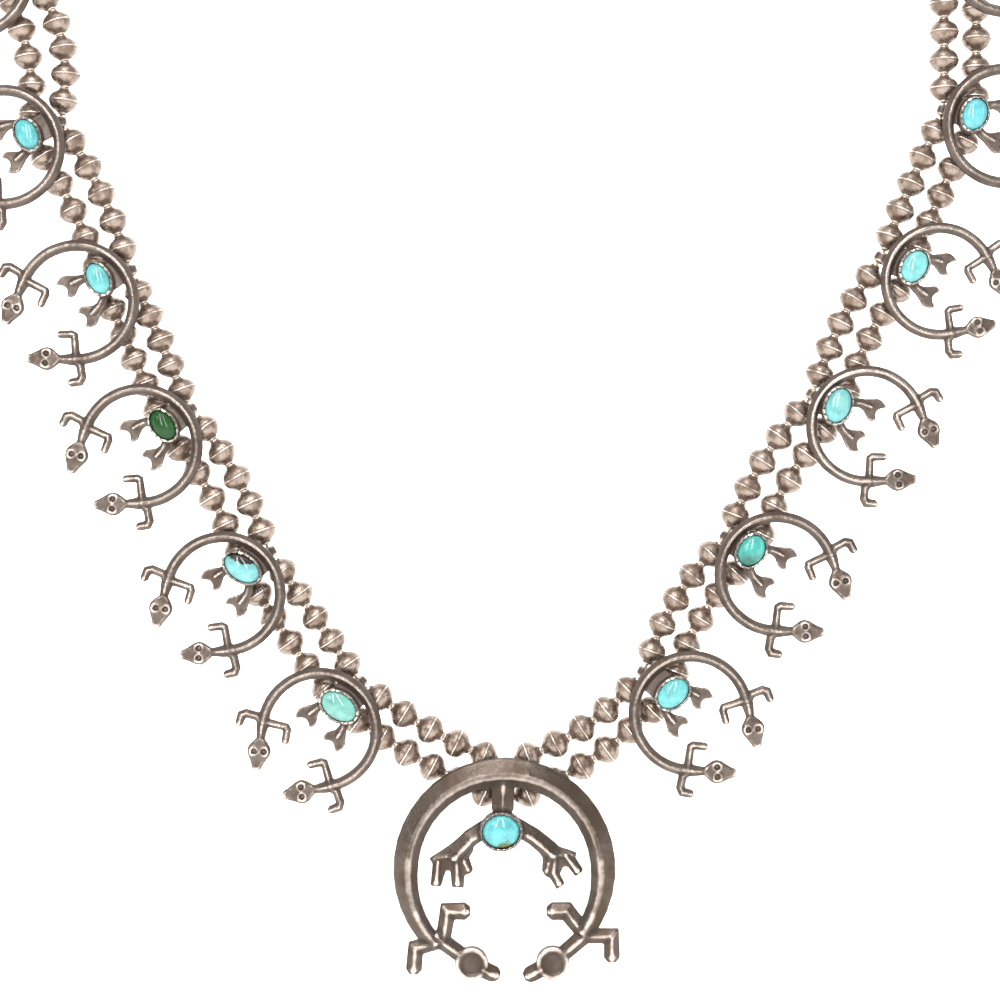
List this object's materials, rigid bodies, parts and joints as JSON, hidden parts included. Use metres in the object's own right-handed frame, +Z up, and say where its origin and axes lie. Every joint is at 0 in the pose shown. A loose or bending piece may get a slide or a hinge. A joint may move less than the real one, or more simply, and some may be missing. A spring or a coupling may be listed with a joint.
{
  "type": "silver and turquoise squash blossom necklace",
  "caption": "Necklace of two strands of seamed silver beads, with open cast crescents that hold turquoise stones on both sides and an open crescent pendant below.",
  "frame": {"origin": "middle of the clasp's lower edge, where the necklace rests on the nape", "axes": "+Z up along the necklace as it hangs, -Y to the front, +X to the wearer's left, which is the right of the picture"},
  "size_m": [0.2964, 0.0131, 0.3436],
  "materials": {
    "naja_silver": "tarnished cast silver",
    "cast_silver": "tarnished cast silver",
    "bead_silver": "tarnished hand-worked silver",
    "clasp_silver": "worn silver",
    "wire": "dull",
    "turquoise_naja": "polished turquoise",
    "turquoise_r1": "polished turquoise",
    "turquoise_r2": "polished turquoise",
    "turquoise_r3": "polished turquoise",
    "turquoise_r4": "polished turquoise",
    "turquoise_r5": "polished turquoise",
    "turquoise_r6": "polished turquoise",
    "turquoise_l1": "polished turquoise",
    "turquoise_l2": "polished turquoise",
    "turquoise_l3": "polished turquoise",
    "turquoise_l4": "polished turquoise",
    "turquoise_l5": "polished turquoise",
    "turquoise_l6": "polished turquoise"
  },
  "bodies": {
    "root": {"naja": "naja_silver", "naja_stone": "turquoise_naja", "blossom_r1": "cast_silver", "blossom_r2": "cast_silver", "blossom_r3": "cast_silver", "blossom_r4": "cast_silver", "blossom_r5": "cast_silver", "blossom_r6": "cast_silver", "blossom_l1": "cast_silver", "blossom_l2": "cast_silver", "blossom_l3": "cast_silver", "blossom_l4": "cast_silver", "blossom_l5": "cast_silver", "blossom_l6": "cast_silver", "stone_r1": "turquoise_r1", "stone_r2": "turquoise_r2", "stone_r3": "turquoise_r3", "stone_r4": "turquoise_r4", "stone_r5": "turquoise_r5", "stone_r6": "turquoise_r6", "stone_l1": "turquoise_l1", "stone_l2": "turquoise_l2", "stone_l3": "turquoise_l3", "stone_l4": "turquoise_l4", "stone_l5": "turquoise_l5", "stone_l6": "turquoise_l6", "beads_inner_right": "bead_silver", "beads_outer_right": "bead_silver", "beads_inner_left": "bead_silver", "beads_outer_left": "bead_silver", "thread_inner": "wire", "thread_outer": "wire", "clasp": "clasp_silver"}
  },
  "joints": []
}
